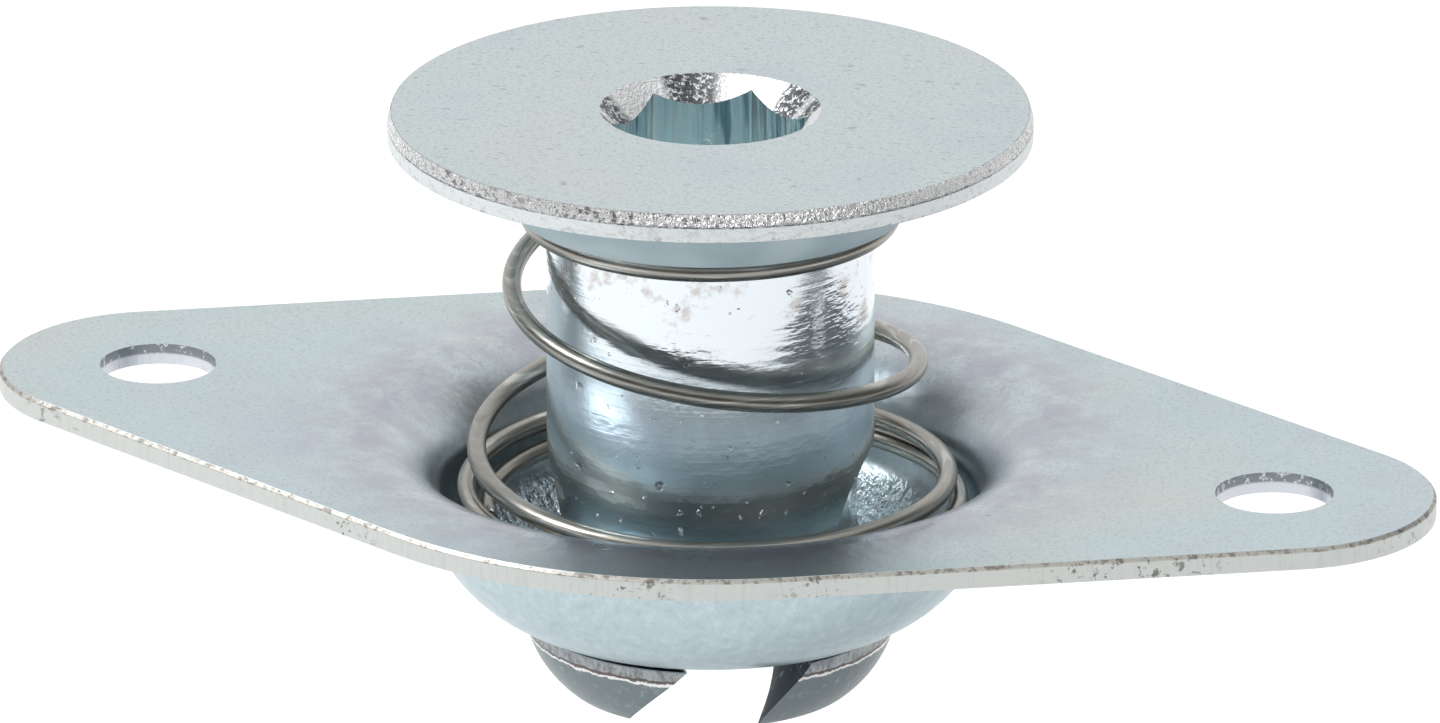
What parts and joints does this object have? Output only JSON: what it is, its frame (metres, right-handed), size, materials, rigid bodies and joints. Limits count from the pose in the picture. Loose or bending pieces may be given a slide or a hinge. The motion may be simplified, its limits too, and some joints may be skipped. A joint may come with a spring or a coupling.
{
  "type": "quarter turn panel fastener",
  "caption": "Spring-ejected quarter turn panel fastener: a hex-socket stud with a twisted cam slot, held in a cupped two-hole flange.",
  "frame": {"origin": "centre of the flange's mounting face, on the stud's axis", "axes": "+Z along the stud's axis towards its head, +X through the two flange holes"},
  "size_m": [0.07, 0.0406, 0.0282],
  "materials": {
    "zinc_plate": "bright zinc plating, satin",
    "spring_wire": "drawn stainless wire"
  },
  "bodies": {
    "flange": {"flange": "zinc_plate"},
    "spring": {"spring": "spring_wire"},
    "stud": {"stud": "zinc_plate"}
  },
  "joints": [
    {"name": "plunge", "type": "slide", "parent": "flange", "child": "spring", "axis": [0, 0, -1], "range_m": [0, 0.01473], "stiffness_N_per_m": 1500, "springref_m": -0.002, "deforming": ["spring"]},
    {"name": "turn", "type": "hinge", "parent": "spring", "child": "stud", "pos_m": [0, 0, 0], "axis": [0, 0, -1], "range_deg": [0, 90]}
  ]
}
